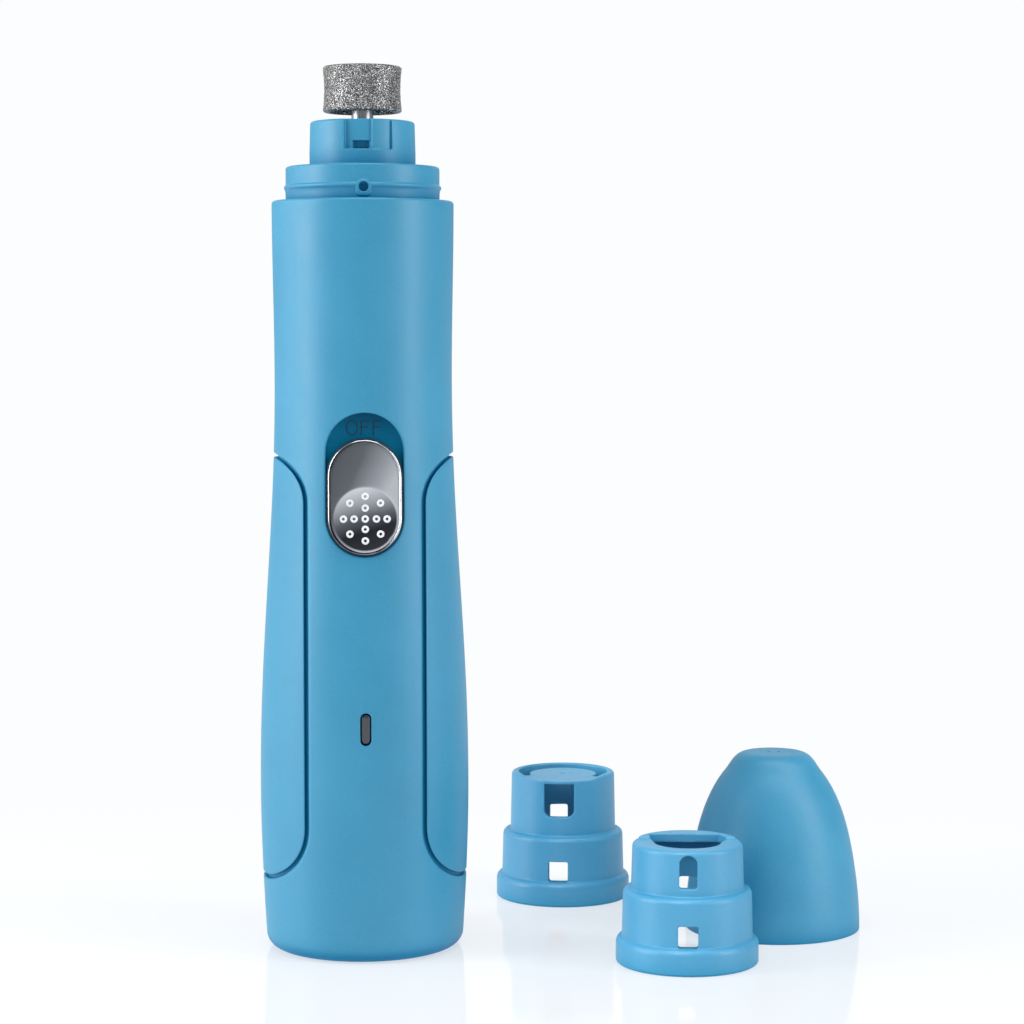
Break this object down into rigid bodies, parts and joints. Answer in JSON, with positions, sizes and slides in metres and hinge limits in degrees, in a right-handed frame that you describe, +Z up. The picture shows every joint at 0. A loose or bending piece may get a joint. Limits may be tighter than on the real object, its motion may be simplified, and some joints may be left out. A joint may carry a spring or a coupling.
{
  "type": "pet nail trimmer",
  "caption": "Cordless pet nail trimmer: round blue handle with side grips and slide switch, diamond drum on a spindle, two guard caps and a travel cover.",
  "frame": {"origin": "centre of the round foot that the handle stands on, which is the centre of the charging port in it", "axes": "+Z up the handle's axis towards the grinding drum, -Y towards the slide switch (front), +X to the right seen from the front; the loose caps and cover stand on the same plane at +X"},
  "size_m": [0.108, 0.0806, 0.1537],
  "materials": {
    "shell_blue": "satin moulded",
    "grip_blue": "satin moulded",
    "smoked_metal": "smooth smoked gradient",
    "bright_metal": "polished",
    "dot_white": "satin",
    "lens_smoke": "gloss",
    "led_white": "gloss",
    "steel": "satin",
    "black_plastic": "matte",
    "pcb_green": "satin",
    "battery_blue": "gloss",
    "nickel": "satin",
    "wire_pvc": "satin",
    "brass": "satin",
    "ferrite": "matte",
    "bronze": "matte",
    "carbon": "matte",
    "felt": "matte",
    "lamination": "satin",
    "copper": "gloss",
    "screw_black": "satin",
    "drum_steel": "satin",
    "diamond_grit": "rough sparkling",
    "white_plastic": "satin"
  },
  "bodies": {
    "handle": {"front_shell": "shell_blue", "rear_shell": "shell_blue", "grip_left": "grip_blue", "grip_right": "grip_blue", "base_plug": "shell_blue", "usb_socket_shell": "steel", "usb_socket_tongue": "black_plastic", "charge_pcb": "pcb_green", "main_pcb": "pcb_green", "pcb_components": "black_plastic", "pcb_screws": "steel", "slide_switch_body": "steel", "status_led": "led_white", "led_lens": "lens_smoke", "battery_cell": "steel", "battery_wrap": "battery_blue", "battery_tabs": "nickel", "battery_leads": "wire_pvc", "motor_can": "steel", "motor_end_cap": "black_plastic", "motor_terminals": "brass", "motor_magnets": "ferrite", "motor_front_bush": "bronze", "motor_rear_bush": "bronze", "motor_brushes": "carbon", "motor_screws": "steel", "motor_leads": "wire_pvc", "nose_collar": "shell_blue", "dust_seal": "felt", "shell_screws": "steel"},
    "spindle": {"motor_shaft": "steel", "rotor_core": "lamination", "rotor_windings": "copper", "commutator": "copper", "shaft_coupler": "steel", "coupler_set_screw": "screw_black"},
    "bit": {"bit_shank": "steel", "drum_core": "drum_steel", "diamond_sleeve": "diamond_grit"},
    "switch": {"switch_button": "smoked_metal", "switch_bezel": "bright_metal", "switch_dots": "dot_white", "switch_carrier": "white_plastic", "switch_actuator": "black_plastic"},
    "guard_cap_slotted": {"guard_cap_slotted": "shell_blue"},
    "guard_cap_open": {"guard_cap_open": "shell_blue"},
    "travel_cover": {"travel_cover": "shell_blue"}
  },
  "joints": [
    {"name": "spindle_spin", "type": "hinge", "parent": "handle", "child": "spindle", "pos_m": [0, 0, 0.12], "axis": [0, 0, 1], "continuous": true},
    {"name": "bit_pull", "type": "slide", "parent": "spindle", "child": "bit", "axis": [0, 0, 1], "range_m": [0, 0.02]},
    {"name": "switch_slide", "type": "slide", "parent": "handle", "child": "switch", "axis": [0, 0, 1], "range_m": [0, 0.0042]},
    {"name": "guard_cap_slotted_lift", "type": "slide", "parent": "handle", "child": "guard_cap_slotted", "axis": [0, 0, 1], "range_m": [0, 0.04]},
    {"name": "guard_cap_open_lift", "type": "slide", "parent": "handle", "child": "guard_cap_open", "axis": [0, 0, 1], "range_m": [0, 0.04]},
    {"name": "travel_cover_lift", "type": "slide", "parent": "handle", "child": "travel_cover", "axis": [0, 0, 1], "range_m": [0, 0.04]}
  ]
}
